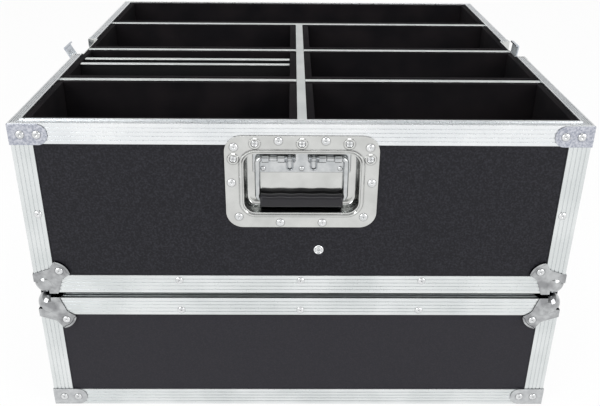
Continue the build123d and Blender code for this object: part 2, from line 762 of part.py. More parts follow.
def hinge_plate():
    """Plate on the dish floor whose four knuckles carry the bail."""
    y, z = bail_pivot()
    floor = HANDLE_DEPTH
    half = HINGE_PLATE_HALF_WIDTH
    face = floor - HINGE_PLATE_WALL
    plate = block(-half, half, face, floor, z - HINGE_PLATE_BELOW, z + BAIL_RADIUS)
    bore = BAIL_RADIUS + SHAFT_PLAY
    outer = bore + KNUCKLE_WALL
    for side in (-1, 1):
        for centre in KNUCKLE_CENTRES:
            x0 = side * centre - KNUCKLE_WIDTH / 2
            x1 = x0 + KNUCKLE_WIDTH
            plate += rod_along_x(outer, x0, x1, y, z)
            plate += block(x0, x1, y, face, z - outer, z)
    return plate - rod_along_x(bore, -half, half, y, z)


def bail(radius=BAIL_RADIUS):
    """Steel bar bent to a U, with its two ends turned inwards as pivots."""
    y, z = bail_pivot()
    half = BAIL_HALF_WIDTH
    low = z - BAIL_DROP
    points = [
        (BAIL_STUB_END, y, z),
        (half, y, z),
        (half, y, low),
        (-half, y, low),
        (-half, y, z),
        (-BAIL_STUB_END, y, z),
    ]
    path = FilletPolyline(*points, radius=BAIL_BEND)
    start = Plane(origin=points[0], z_dir=(1, 0, 0))
    return sweep(start * Circle(radius), path)


def grip():
    """Rubber grip moulded round the lower bar of the bail."""
    y, z = bail_pivot()
    outline = RectangleRounded(GRIP_DEPTH, GRIP_HEIGHT, GRIP_CORNER)
    half = GRIP_LENGTH / 2
    body = Pos(-half, y, z - BAIL_DROP) * extrude(Plane.YZ * outline, GRIP_LENGTH)
    ends = body.faces().sort_by(Axis.X)
    body = chamfer(ends[0].edges() + ends[-1].edges(), GRIP_END_CHAMFER)
    return body - bail(BAIL_RADIUS + SHAFT_PLAY)


def handle_springs():
    """Two coiled return springs on the bail's ends, each with its hook leg."""
    y, z = bail_pivot()
    bore = BAIL_RADIUS + SPRING_PLAY
    outer = bore + SPRING_WALL
    half = SPRING_LENGTH / 2
    pieces = []
    for side in (-1, 1):
        x = side * SPRING_CENTRE
        coil = rod_along_x(outer, x - half, x + half, y, z)
        leg_y = y + bore + SPRING_WALL / 2
        leg = Pos(x, leg_y, z - SPRING_LEG_LENGTH / 2) * Cylinder(SPRING_LEG_RADIUS, SPRING_LEG_LENGTH)
        foot_z = z - SPRING_LEG_LENGTH + SPRING_LEG_RADIUS
        face = HANDLE_DEPTH - HINGE_PLATE_WALL
        foot = rod_along_y(SPRING_LEG_RADIUS, x, leg_y, face, foot_z)
        pieces.append(coil + leg + foot - rod_along_x(bore, x - half, x + half, y, z))
    return pieces


def latch_dish(height, latch_height):
    """Half dish of a latch, open at the rim, with its flange on three sides."""
    half = LATCH_OPENING / 2
    low = height - latch_height
    wide = half + LATCH_FLANGE
    plate = block(-wide, wide, -PLATE_THICKNESS, ANGLE_WALL, low - LATCH_FLANGE, height)
    corners = plate.edges().filter_by(Axis.Y).group_by(Axis.Z)[0]
    plate = fillet(corners, LATCH_CORNER)
    plate -= block(-CASE_DEPTH, CASE_DEPTH, 0, SKIN, height - ANGLE_LEG, height)
    rear = LATCH_DEPTH + TRAY_WALL
    edge = half + TRAY_WALL
    tray = block(-edge, edge, 0, rear, low - TRAY_WALL, height)
    hollow = block(-half, half, -2 * PLATE_THICKNESS, LATCH_DEPTH, low, height + CUT_OVERRUN)
    return plate + tray - hollow


def latch_spots(latch_height, side_drop):
    """Rivets on the flange of a latch dish, as x and drop below the rim."""
    x = LATCH_OPENING / 2 + LATCH_FLANGE / 2
    low = latch_height + LATCH_FLANGE / 2
    spots = []
    for side in (-1, 1):
        spots += [(side * x, side_drop), (side * LATCH_RIVET_X, low)]
    return spots


def latch_pivot():
    """Depth and height of the line on which a latch tilts."""
    return LATCH_PIVOT_INSET, BASE_HEIGHT - LATCH_PIVOT_DROP


def latch_bracket():
    """Riveted bracket on the dish floor, with two ears for the hinge pin."""
    y, z = latch_pivot()
    face = LATCH_DEPTH - BRACKET_PLATE_WALL
    reach = LATCH_EAR_CENTRE + LATCH_EAR_WALL / 2
    low = BASE_HEIGHT - LATCH_BASE_HEIGHT + BRACKET_SEAT_GAP
    plate = block(-reach, reach, face, LATCH_DEPTH, low, z + 2 * LATCH_EAR_RADIUS)
    for side in (-1, 1):
        x0 = side * LATCH_EAR_CENTRE - LATCH_EAR_WALL / 2
        x1 = x0 + LATCH_EAR_WALL
        plate += rod_along_x(LATCH_EAR_RADIUS, x0, x1, y, z)
        plate += block(x0, x1, y, face, z - LATCH_EAR_RADIUS, z + LATCH_EAR_RADIUS)
    return plate - rod_along_x(LATCH_PIN_RADIUS, -reach, reach, y, z)


def latch_pin():
    """Steel pin held in the ears of the bracket."""
    y, z = latch_pivot()
    reach = LATCH_EAR_CENTRE + LATCH_EAR_WALL / 2
    return rod_along_x(LATCH_PIN_RADIUS, -reach, reach, y, z)


def cradle_rear():
    """Depth of the cradle web's rear face when the latch stands upright."""
    return LATCH_DEPTH - BRACKET_PLATE_WALL - CRADLE_GAP


def latch_cradle():
    """Folded channel that tilts on the pin and guides the claw."""
    y, z = latch_pivot()
    half = CRADLE_HALF_WIDTH
    rear = cradle_rear()
    web_face = rear - CRADLE_WALL
    body = block(-half, half, web_face, rear, z + CRADLE_FOOT, z + CRADLE_TOP)
    for side in (-1, 1):
        x0 = side * half if side < 0 else half - CRADLE_WALL
        x1 = x0 + CRADLE_WALL
        body += block(x0, x1, CRADLE_FLANGE_FRONT, rear, z + CRADLE_FOOT, z + CRADLE_TOP)
        body += rod_along_x(CRADLE_EAR_RADIUS, x0, x1, y, z)
        body += block(x0, x1, y - CRADLE_EAR_RADIUS, y + CRADLE_EAR_RADIUS, z, z + CRADLE_FOOT)
    body -= rod_along_x(LATCH_PIN_RADIUS + SHAFT_PLAY, -half, half, y, z)
    hole = rod_along_y(SPINDLE_RADIUS + SHAFT_PLAY, 0, 0, rear + CUT_OVERRUN, z + SPINDLE_HEIGHT)
    return body - hole


def claw_rear():
    """Depth of the claw plate's rear face."""
    return CLAW_FACE + CLAW_WALL


def latch_claw():
    """Sliding claw: a hook at its top and a window for the cam."""
    _, z = latch_pivot()
    top = z + CLAW_REACH
    half = CLAW_HALF_WIDTH
    body = block(-half, half, CLAW_FACE, claw_rear(), top - CLAW_LENGTH, top)
    body += block(-half, half, CLAW_FACE, CLAW_FACE + CLAW_HOOK, top - CLAW_WALL, top)
    bend = body.edges().filter_by(Axis.X).sort_by(lambda edge: edge.center().Z - edge.center().Y)[-1]
    body = fillet(bend, CLAW_BEND - CLAW_WALL / 2)
    cam = z + SPINDLE_HEIGHT + CLAW_TRAVEL / 2
    wide = CAM_RADIUS + CLAW_TRAVEL / 2 + CAM_PLAY
    tall = CAM_RADIUS + CAM_PLAY
    return body - block(-wide, wide, 0, claw_rear() + CUT_OVERRUN, cam - tall, cam + tall)


def latch_spindle():
    """Turned spindle with an off-centre cam disc and the ears for the wing."""
    _, z = latch_pivot()
    z += SPINDLE_HEIGHT
    rear = cradle_rear()
    web_face = rear - CRADLE_WALL
    back = claw_rear() + CRADLE_GAP
    cam_front = CLAW_FACE - CRADLE_GAP
    flange_front = cam_front - CAM_FLANGE_WALL
    head = rear + SPINDLE_END_PLAY
    end = head + SPINDLE_HEAD_LENGTH
    body = rod_along_y(SPINDLE_RADIUS, 0, back, end, z)
    body += rod_along_y(SPINDLE_HEAD_RADIUS, 0, head, end, z)
    body += rod_along_y(SPINDLE_COLLAR_RADIUS, 0, back, web_face - SPINDLE_END_PLAY, z)
    body += rod_along_y(CAM_RADIUS, 0, cam_front, back, z + CLAW_TRAVEL / 2)
    body += rod_along_y(CAM_FLANGE_RADIUS, 0, flange_front, cam_front, z)
    ear_front = WING_PIN_INSET - WING_KNUCKLE_RADIUS
    for side in (-1, 1):
        x0 = min(side * WING_EAR_INNER, side * WING_EAR_OUTER)
        x1 = max(side * WING_EAR_INNER, side * WING_EAR_OUTER)
        half = WING_KNUCKLE_RADIUS + WING_EAR_MARGIN
        ear = block(x0, x1, WING_PIN_INSET, flange_front, z - half, z + half)
        body += ear + rod_along_x(half, x0, x1, WING_PIN_INSET, z)
    return body + rod_along_x(WING_PIN_RADIUS, -WING_EAR_OUTER, WING_EAR_OUTER, WING_PIN_INSET, z)


def latch_wing():
    """Two-lobed thumb wing, folded down flat over the claw."""
    _, z = latch_pivot()
    z += SPINDLE_HEIGHT
    half_knuckle = WING_EAR_INNER - WING_SIDE_PLAY
    neck = WING_NECK
    notch_half, notch_rise = WING_NOTCH
    outline = Polyline(
        (-half_knuckle, 0),
        (half_knuckle, 0),
        (half_knuckle, -neck),
        (WING_HALF_WIDTH, -neck),
        (WING_HALF_WIDTH, -WING_LENGTH),
        (notch_half, -WING_LENGTH),
        (0, -WING_LENGTH + notch_rise),
        (-notch_half, -WING_LENGTH),
        (-WING_HALF_WIDTH, -WING_LENGTH),
        (-WING_HALF_WIDTH, -neck),
        (-half_knuckle, -neck),
        close=True,
    )
    front = WING_PIN_INSET - WING_THICKNESS / 2
    plate = slab_on_face(Pos(0, z) * make_face(outline), front, front + WING_THICKNESS)
    neck_reach = half_knuckle + CUT_OVERRUN
    lobes = [edge for edge in plate.edges().filter_by(Axis.Y) if abs(edge.center().X) > neck_reach]
    plate = fillet(lobes, neck / 2)
    plate += rod_along_x(WING_KNUCKLE_RADIUS, -half_knuckle, half_knuckle, WING_PIN_INSET, z)
    return plate - rod_along_x(WING_PIN_RADIUS + SHAFT_PLAY, -half_knuckle, half_knuckle, WING_PIN_INSET, z)


def latch_catch():
    """Bent catch plate on the floor of the lid's dish, lip towards the rim."""
    high = LID_HEIGHT - CATCH_LIFT
    half = CATCH_HALF_WIDTH
    face = LATCH_DEPTH - BRACKET_PLATE_WALL
    leg = block(-half, half, face, LATCH_DEPTH, high - CATCH_HEIGHT, high)
    return leg + block(-half, half, CATCH_LIP_REACH, LATCH_DEPTH, high - BRACKET_PLATE_WALL, high)


def tilted(side, shape):
    """Turn a latch piece about its pin to the angle at which it rests open."""
    y, z = latch_pivot()
    return Pos(0, y, z) * Rot(LATCH_REST_TILT[side], 0, 0) * Pos(0, -y, -z) * shape


def build_lid():
    """Lift-off lid, standing on its mouth."""
    cutters = [
        FACES[face][0] * latch_cutter(LID_HEIGHT, LATCH_LID_HEIGHT) for face in ("left", "right")
    ]
    walls, closed = case_panels(LID_HEIGHT, lid_rail_depth(), cutters)
    for face, wall in walls.items():
        save(f"lid_{face}_panel", LID_SEAT * wall)
    save("lid_top_panel", LID_SEAT * closed)
    rails = [rim_rail(lid_rail_section(), face, LID_HEIGHT, LATCH_LID_HEIGHT) for face in FACES]
    braces = [place * corner_brace(LID_HEIGHT) for place in corner_places()]
    dishes = [FACES[face][0] * latch_dish(LID_HEIGHT, LATCH_LID_HEIGHT) for face in ("left", "right")]
    catches = [FACES[face][0] * latch_catch() for face in ("left", "right")]
    pad_low = SKIN + FOAM_GAP
    pad = block(
        -INNER_X + FOAM_GAP,
        INNER_X - FOAM_GAP,
        -INNER_Y + FOAM_GAP,
        INNER_Y - FOAM_GAP,
        pad_low,
        pad_low + LID_PAD_THICKNESS,
    )
    spots = [
        (face, x, LID_HEIGHT - drop, PLATE_THICKNESS)
        for face in ("left", "right")
        for x, drop in latch_spots(LATCH_LID_HEIGHT, LATCH_LID_RIVET_DROP)
    ]
    groups = {
        "lid_top_angles": edge_angles(),
        "lid_corner_angles": corner_angles(LID_HEIGHT),
        "lid_mouth_rails": rails,
        "lid_ball_corners": [place * ball_corner() for place in corner_places()],
        "lid_mouth_braces": braces,
        "lid_rivets": case_rivets(LID_HEIGHT, posts=False) + face_rivets(spots),
        "lid_latch_dishes": dishes,
        "lid_latch_catches": catches,
        "lid_pad": [pad],
    }
    for name, pieces in groups.items():
        save(name, *[LID_SEAT * piece for piece in pieces])


def build_base_shell():
    """Base box: boards, rails, corners and rivets."""
    walls, closed = case_panels(BASE_HEIGHT, ANGLE_WALL, tray_cutters())
    for face, wall in walls.items():
        save(f"base_{face}_panel", BASE_SEAT * wall)
    save("base_bottom_panel", BASE_SEAT * closed)
    rivet_spots, _ = handle_spots()
    spots = [(face, x, z, PLATE_THICKNESS) for face in ("front", "back") for x, z in rivet_spots]
    spots += [
        (face, x, BASE_HEIGHT - drop, PLATE_THICKNESS)
        for face in ("left", "right")
        for x, drop in latch_spots(LATCH_BASE_HEIGHT, LATCH_BASE_RIVET_DROP)
    ]
    groups = {
        "base_bottom_angles": edge_angles(),
        "base_corner_angles": corner_angles(BASE_HEIGHT),
        "base_rim_rails": [
            rim_rail(base_rail_section(), face, BASE_HEIGHT, LATCH_BASE_HEIGHT) for face in FACES
        ],
        "base_ball_corners": [place * ball_corner() for place in corner_places()],
        "base_rim_braces": [place * corner_brace(BASE_HEIGHT) for place in corner_places()],
        "base_rivets": case_rivets(BASE_HEIGHT, posts=True) + face_rivets(spots),
    }
    for name, pieces in groups.items():
        save(name, *[BASE_SEAT * piece for piece in pieces])


def build_base_inside():
    """Dividers, linings, brackets and the two lift-out partitions."""
    relief = rim_relief()
    cutters = tray_cutters()
    for index, name in enumerate(("front", "middle", "rear")):
        save(f"{name}_cross_divider", BASE_SEAT * cross_divider(index, relief, cutters))
    save("centre_divider", BASE_SEAT * centre_divider(relief, cutters))
    save("centre_divider_cap", BASE_SEAT * centre_cap())
    save("cross_divider_caps", *[BASE_SEAT * cap for cap in cross_caps()])
    brackets, screws = divider_brackets()
    save("divider_brackets", *[BASE_SEAT * piece for piece in brackets])
    save("bracket_screws", *[BASE_SEAT * piece for piece in screws])
    floors, plain, recessed = linings(relief, cutters, bracket_rooms())
    save("floor_linings", *[BASE_SEAT * pad for pad in floors])
    save("wall_linings", *[BASE_SEAT * pad for pad in plain])
    save("recessed_wall_linings", *[BASE_SEAT * pad for pad in recessed])
    for name, y in zip(("front", "rear"), PARTITION_YS):
        board, cap = partition(y)
        save(f"{name}_partition", BASE_SEAT * board)
        save(f"{name}_partition_cap", BASE_SEAT * cap)


def bracket_rooms():
    """Pockets in the foam over the divider brackets."""
    half = DIVIDER_THICKNESS / 2
    room = BRACKET_WALL + FOAM_GAP
    leg = BRACKET_LEG + FOAM_GAP
    low = BRACKET_CENTRE - BRACKET_HEIGHT / 2 - FOAM_GAP
    high = BRACKET_CENTRE + BRACKET_HEIGHT / 2 + FOAM_GAP
    pocket = block(half, half + leg, SKIN, SKIN + room, low, high)
    pocket += block(half, half + room, SKIN, SKIN + leg, low, high)
    spots = [("front", 0.0)]
    spots += [("right", y) for y in ROW_CENTRES]
    spots += [("left", -y) for y in ROW_CENTRES]
    return [FACES[face][0] * Pos(x, 0, 0) * pocket for face, x in spots]


def build_handles():
    """Spring handles in the front and the back wall."""
    for face in ("front", "back"):
        place = BASE_SEAT * FACES[face][0]
        save(f"{face}_handle_dish", place * handle_dish())
        save(f"{face}_handle_bail", place * bail())
        save(f"{face}_handle_grip", place * grip())
    places = [BASE_SEAT * FACES[face][0] for face in ("front", "back")]
    save("handle_hinge_plates", *[place * hinge_plate() for place in places])
    save("handle_springs", *[place * spring for place in places for spring in handle_springs()])


def build_latches():
    """Butterfly latches in the left and the right wall, resting open."""
    for side in ("left", "right"):
        place = BASE_SEAT * FACES[side][0]
        save(f"{side}_latch_dish", place * latch_dish(BASE_HEIGHT, LATCH_BASE_HEIGHT))
        save(f"{side}_latch_cradle", place * tilted(side, latch_cradle()))
        save(f"{side}_latch_claw", place * tilted(side, latch_claw()))
        save(f"{side}_latch_spindle", place * tilted(side, latch_spindle()))
        save(f"{side}_latch_wing", place * tilted(side, latch_wing()))
    places = [BASE_SEAT * FACES[side][0] for side in ("left", "right")]
    save("latch_brackets", *[place * latch_bracket() for place in places])
    save("latch_pins", *[place * latch_pin() for place in places])


os.makedirs("parts", exist_ok=True)
build_lid()
build_base_shell()
build_base_inside()
build_handles()
build_latches()
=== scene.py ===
import math

import bmesh
import bpy
from mathutils import Euler, Matrix, Vector


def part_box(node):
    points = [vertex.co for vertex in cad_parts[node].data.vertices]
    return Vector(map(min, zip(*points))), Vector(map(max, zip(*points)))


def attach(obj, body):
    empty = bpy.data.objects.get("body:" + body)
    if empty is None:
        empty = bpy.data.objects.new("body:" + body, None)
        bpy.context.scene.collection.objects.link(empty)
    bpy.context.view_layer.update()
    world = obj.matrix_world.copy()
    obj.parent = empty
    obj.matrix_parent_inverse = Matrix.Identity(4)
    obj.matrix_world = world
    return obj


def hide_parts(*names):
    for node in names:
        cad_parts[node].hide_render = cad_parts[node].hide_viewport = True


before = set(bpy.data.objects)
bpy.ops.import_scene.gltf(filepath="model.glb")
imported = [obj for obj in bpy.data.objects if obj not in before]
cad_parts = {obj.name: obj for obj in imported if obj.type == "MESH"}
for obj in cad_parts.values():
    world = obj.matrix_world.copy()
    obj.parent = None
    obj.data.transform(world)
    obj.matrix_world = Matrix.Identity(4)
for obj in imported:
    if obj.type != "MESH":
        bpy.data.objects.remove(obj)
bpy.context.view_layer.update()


# Edge profiles: extruded aluminium angles, the rim and mouth rails with their lip, the brackets
# and the cap on the centre divider. The alloy is satin, with slow patches of tone and a fine
# grain, and painted shade darkens its lengthwise grooves and corners.
MM_PER_METRE = 1000.0


def hex_colour(code):
    """Linear colour of an sRGB hex value."""
    channels = [int(code[i : i + 2], 16) / 255 for i in (1, 3, 5)]
    linear = [c / 12.92 if c <= 0.04045 else ((c + 0.055) / 1.055) ** 2.4 for c in channels]
    return (*linear, 1.0)


def add_node(tree, kind, settings=None, inputs=None):
    """Add a node, set its properties, then fill its inputs or link them to other nodes."""
    node = tree.nodes.new(kind)
    for name, value in (settings or {}).items():
        setattr(node, name, value)
    for socket, value in (inputs or {}).items():
        if isinstance(value, bpy.types.NodeSocket):
            tree.links.new(value, node.inputs[socket])
        else:
            node.inputs[socket].default_value = value
    return node


def new_finish(name, **surface):
    """Material of one Principled surface whose constant values sit on its own sockets."""
    material = bpy.data.materials.new(name)
    material.use_nodes = True
    tree = material.node_tree
    tree.nodes.clear()
    values = {key.replace("_", " "): value for key, value in surface.items()}
    shader = add_node(tree, "ShaderNodeBsdfPrincipled", inputs=values)
    add_node(tree, "ShaderNodeOutputMaterial", inputs={"Surface": shader.outputs["BSDF"]})
    return material, tree, shader


def grain(tree, size_mm, detail=2.0):
    """Noise on Object coordinates whose grains are about size_mm across."""
    place = add_node(tree, "ShaderNodeTexCoord").outputs["Object"]
    values = {"Vector": place, "Scale": MM_PER_METRE / size_mm, "Detail": detail}
    return add_node(tree, "ShaderNodeTexNoise", inputs=values)


def blend_colours(tree, factor, dark, light, low=0.35, high=0.65):
    """Two hex colours mixed by a texture value between low and high."""
    ramp = add_node(tree, "ShaderNodeValToRGB", inputs={"Fac": factor})
    ramp.color_ramp.elements[0].position = low
    ramp.color_ramp.elements[0].color = hex_colour(dark)
    ramp.color_ramp.elements[1].position = high
    ramp.color_ramp.elements[1].color = hex_colour(light)
    return ramp.outputs["Color"]


def spread_values(tree, factor, low, high, start=0.3, end=0.7):
    """A texture value stretched between two surface values."""
    values = {"Value": factor, "From Min": start, "From Max": end, "To Min": low, "To Max": high}
    return add_node(tree, "ShaderNodeMapRange", inputs=values).outputs["Result"]


def roughen(tree, shader, height, depth_mm, edge_mm=0.3):
    """Fine relief from a texture value, over edges worn round by edge_mm."""
    rounded = add_node(tree, "ShaderNodeBevel", {"samples": 6}, {"Radius": edge_mm / MM_PER_METRE})
    values = {"Height": height, "Distance": depth_mm / MM_PER_METRE, "Normal": rounded.outputs["Normal"]}
    bump = add_node(tree, "ShaderNodeBump", inputs=values)
    tree.links.new(bump.outputs["Normal"], shader.inputs["Normal"])


def painted_shade(tree, colour, shade, reach_mm, low=0.35, high=0.85):
    """A colour that sinks towards a darker one where nearby surfaces hem it in: painted shade in
    grooves, corners and under heads.
    """
    values = {"Distance": reach_mm / MM_PER_METRE}
    # Occlusion measures how hemmed in each point is; the darker colour is painted shade, not dirt.
    occlusion = add_node(tree, "ShaderNodeAmbientOcclusion", {"samples": 8}, values)
    unshaded = spread_values(tree, occlusion.outputs["AO"], 0.0, 1.0, start=low, end=high)
    mixed = add_node(
        tree, "ShaderNodeMix", {"data_type": "RGBA"}, {0: unshaded, 6: hex_colour(shade), 7: colour}
    )
    return mixed.outputs[2]


def dress(material, *nodes):
    """Give CAD pieces a finish in place of their plain one."""
    for node in nodes:
        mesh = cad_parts[node].data
        mesh.materials.clear()
        mesh.materials.append(material)


SLOW_PATCH_MM = 60.0
FINE_GRAIN_MM = 1.6


def satin_aluminium(name, dark, light, rough_low, rough_high):
    """Extruded alloy: a fine grain and slow patches, with painted shade darkening its grooves and
    corners.
    """
    material, tree, shader = new_finish(name, Metallic=1.0)
    patches = grain(tree, SLOW_PATCH_MM)
    fine = grain(tree, FINE_GRAIN_MM, detail=3.0)
    colour = blend_colours(tree, patches.outputs["Fac"], dark, light)
    # Painted shade: the colour sinks towards pale grey #C9CDD0 within 1.5 mm of grooves and corners.
    shaded_colour = painted_shade(tree, colour, "#C9CDD0", reach_mm=1.5, low=0.2, high=0.7)
    tree.links.new(shaded_colour, shader.inputs["Base Color"])
    rough = spread_values(tree, fine.outputs["Fac"], rough_low, rough_high)
    tree.links.new(rough, shader.inputs["Roughness"])
    roughen(tree, shader, fine.outputs["Fac"], depth_mm=0.03)
    return material


rim_finish = satin_aluminium(
    "bright_rim_aluminium", "#E6E9EB", "#F2F4F5", rough_low=0.24, rough_high=0.38
)
dress(rim_finish, "base_rim_rails")

angle_finish = satin_aluminium(
    "extruded_aluminium", "#D9DDDD", "#E7EAEA", rough_low=0.26, rough_high=0.4
)
dress(
    angle_finish,
    "lid_top_angles",
    "lid_corner_angles",
    "lid_mouth_rails",
    "base_bottom_angles",
    "base_corner_angles",
    "divider_brackets",
)

cap_finish = satin_aluminium(
    "brushed_cap_aluminium", "#DCE0DF", "#EAEDEC", rough_low=0.36, rough_high=0.5
)
dress(cap_finish, "centre_divider_cap")


# Cap strips: on the cross dividers and the two lift-out boards only a thin bright strip with
# softened corners shows. The black board or foam begins right under it.
STRIP_THICKNESS = 0.0016
STRIP_SOFTENING = 0.0004
STRIP_SETBACK = 0.003


def placed(name, mesh):
    """Object of a mesh, at the origin, in the scene."""
    shown = bpy.data.objects.new(name, mesh)
    bpy.context.scene.collection.objects.link(shown)
    return shown


def box_of(points):
    """Lowest and highest corner of some points."""
    low = Vector([min(p[i] for p in points) for i in range(3)])
    high = Vector([max(p[i] for p in points) for i in range(3)])
    return low, high


def edge_strip(name, low, high, finish):
    """Thin strip with softened edges that fills a box."""
    form = bmesh.new()
    bmesh.ops.create_cube(form, size=1.0)
    for vertex in form.verts:
        for axis in range(3):
            vertex.co[axis] = high[axis] if vertex.co[axis] > 0 else low[axis]
    bmesh.ops.bevel(
        form,
        geom=form.edges[:],
        offset=STRIP_SOFTENING,
        segments=2,
        profile=0.5,
        affect="EDGES",
        clamp_overlap=True,
    )
    mesh = bpy.data.meshes.new(name)
    form.to_mesh(mesh)
    form.free()
    mesh.materials.append(finish)
    mesh.shade_smooth()
    mesh.set_sharp_from_angle(angle=math.radians(40))
    return placed(name, mesh)


def loose_parts(node):
    """Vertices of each separate solid of a CAD piece."""
    form = bmesh.new()
    form.from_mesh(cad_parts[node].data)
    bmesh.ops.remove_doubles(form, verts=form.verts, dist=1e-6)
    waiting = set(form.verts)
    found = []
    while waiting:
        group = [waiting.pop()]
        for vertex in group:
            for edge in vertex.link_edges:
                other = edge.other_vert(vertex)
                if other in waiting:
                    waiting.discard(other)
                    group.append(other)
        found.append([vertex.co.copy() for vertex in group])
    form.free()
    return found


for board in ("front_partition", "rear_partition"):
    low, high = (Vector(corner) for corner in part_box(f"{board}_cap"))
    low.z = high.z - STRIP_THICKNESS
    strip = edge_strip(f"{board}_strip", low, high, cap_finish)
    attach(strip, board)
    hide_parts(f"{board}_cap")

for number, points in enumerate(loose_parts("cross_divider_caps")):
    low, high = box_of(points)
    low.z = high.z - STRIP_THICKNESS
    high.y -= STRIP_SETBACK
    strip = edge_strip(f"cross_divider_strip_{number}", low, high, cap_finish)
    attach(strip, "base")
    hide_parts("cross_divider_caps")


# Boards of the case: birch plywood faced with a black phenolic laminate, pressed with a fine
# orange-peel grain, shown as a fine bump and as small grey flecks of painted glint in the colour. They
# slide into the rails.
CLOUD_MM = 140.0
CLOUD_ROUGHNESS = 0.015


def laminate(name, dark, light, rough, gloss, fleck_mm, depth_mm):
    """Black pressed laminate: its grain as a fine bump and as grey flecks of painted glint, and a slow
    change of tone.
    """
    material, tree, shader = new_finish(name, IOR=1.5, Specular_IOR_Level=gloss)
    grain_and_glints = grain(tree, fleck_mm, detail=3.0)
    clouds = grain(tree, CLOUD_MM)
    # Painted glints: lighter grey flecks in the base colour stand for light caught by the grain.
    base = blend_colours(tree, grain_and_glints.outputs["Fac"], dark, light, low=0.42, high=0.72)
    tree.links.new(base, shader.inputs["Base Color"])
    rough_value = spread_values(
        tree, clouds.outputs["Fac"], rough - CLOUD_ROUGHNESS, rough + CLOUD_ROUGHNESS
    )
    tree.links.new(rough_value, shader.inputs["Roughness"])
    roughen(tree, shader, grain_and_glints.outputs["Fac"], depth_mm=depth_mm)
    return material


base_board_finish = laminate(
    "black_grained_laminate", "#16161B", "#2A2A30", rough=0.5, gloss=0.2, fleck_mm=2.2, depth_mm=0.16
)
lid_board_finish = laminate(
    "black_smooth_laminate", "#201F25", "#2A292F", rough=0.55, gloss=0.25, fleck_mm=1.6, depth_mm=0.06
)
dress(
    base_board_finish,
    "base_front_panel",
    "base_back_panel",
    "base_left_panel",
    "base_right_panel",
    "base_bottom_panel",
)
dress(
    lid_board_finish,
    "lid_front_panel",
    "lid_back_panel",
    "lid_left_panel",
    "lid_right_panel",
    "lid_top_panel",
)
divider_finish = laminate(
    "black_faced_plywood", "#131314", "#1B1B1D", rough=0.6, gloss=0.15, fleck_mm=1.6, depth_mm=0.05
)
dress(
    divider_finish,
    "centre_divider",
    "front_cross_divider",
    "middle_cross_divider",
    "rear_cross_divider",
    "front_partition",
    "rear_partition",
)


# Ball corners: pressed steel balls with three petals, bright chromed, riveted over the rails.
# The plate is hard and smooth, with fine marks, slightly duller patches and painted shade in its seams.
def plated(name, tones, roughness, patch_mm, mark_mm, shade_reach_mm=2.5, shade_low=0.4):
    """Plated steel whose tone and gloss change in patches, with fine marks and painted shade darkening
    its seams and hollows.
    """
    material, tree, shader = new_finish(name, Metallic=1.0)
    patches = grain(tree, patch_mm)
    marks = grain(tree, mark_mm, detail=4.0)
    colour = blend_colours(tree, patches.outputs["Fac"], *tones)
    # Painted shade: the colour sinks towards near-black #2E3033 in seams, hollows and under heads.
    shaded_colour = painted_shade(tree, colour, "#2E3033", reach_mm=shade_reach_mm, low=shade_low, high=1.0)
    tree.links.new(shaded_colour, shader.inputs["Base Color"])
    rough = spread_values(tree, patches.outputs["Fac"], *roughness)
    tree.links.new(rough, shader.inputs["Roughness"])
    roughen(tree, shader, marks.outputs["Fac"], depth_mm=0.02)
    return material


chrome_finish = plated(
    "chromed_steel",
    tones=("#98999B", "#C2C4C5"),
    roughness=(0.03, 0.08),
    patch_mm=12.0,
    mark_mm=1.2,
    # Painted shade: a long reach and a high threshold darken the seam between ball and petals.
    shade_reach_mm=7.0,
    shade_low=0.68,
)
dress(chrome_finish, "lid_ball_corners", "base_ball_corners")


# Corner braces at the rim: flat steel folded round each upright edge. On the base they are zinc
# plated and passivated to a blue grey; on the lid the plating is brighter.
blue_zinc_finish = plated(
    "blue_passivated_zinc", ("#A5A9B5", "#CED0D8"), (0.22, 0.38), patch_mm=2.2, mark_mm=1.6
)
bright_zinc_finish = plated(
    "bright_zinc_plate", ("#B9BBBD", "#CDCFD0"), (0.3, 0.42), patch_mm=9.0, mark_mm=1.6
)
dress(blue_zinc_finish, "base_rim_braces")
dress(bright_zinc_finish, "lid_mouth_braces")


# Handle dishes and latch dishes: deep-drawn steel with a rolled bead, polished and chromed,
# riveted into cut-outs of the boards. Broad faint patches keep the polish from looking flat.
dish_finish = plated(
    "polished_chrome_dish",
    tones=("#C8C9C7", "#D4D5D3"),
    roughness=(0.06, 0.14),
    patch_mm=25.0,
    mark_mm=1.4,
    # Painted shade darkens the dish's bead, inner corners and the edges under its rivets.
    shade_reach_mm=1.8,
)
dress(
    dish_finish,
    "front_handle_dish",
    "back_handle_dish",
    "lid_latch_dishes",
    "left_latch_dish",
    "right_latch_dish",
)


# Rivets: bright domed heads with the small dent of the pulled mandrel, set in the edges,
# corners, braces and dishes. One tree places a head on every spot of a half of the case.
RIVET_RADIUS = 0.005
RIVET_HEIGHT = 0.0018
RIVET_DENT_RADIUS = 0.0017
RIVET_DENT = 0.0017
HEAD_SEGMENTS = 20
HEAD_RINGS = 14


def head_seats(node):
    """Centre of the foot and outward direction of every head of a fastener piece."""
    seats = []
    for points in loose_parts(node):
        low, high = box_of(points)
        size = high - low
        axis = min(range(3), key=lambda i: size[i])
        middle = (low + high) / 2
        lower = [p for p in points if p[axis] < middle[axis]]
        upper = [p for p in points if p[axis] > middle[axis]]
        side = (axis + 1) % 3
        lower_reach = max(abs(p[side] - middle[side]) for p in lower)
        upper_reach = max(abs(p[side] - middle[side]) for p in upper)
        facing = Vector((0, 0, 0))
        facing[axis] = 1.0 if lower_reach > upper_reach else -1.0
        foot = middle.copy()
        foot[axis] = low[axis] if lower_reach > upper_reach else high[axis]
        seats.append((foot, facing))
    return seats


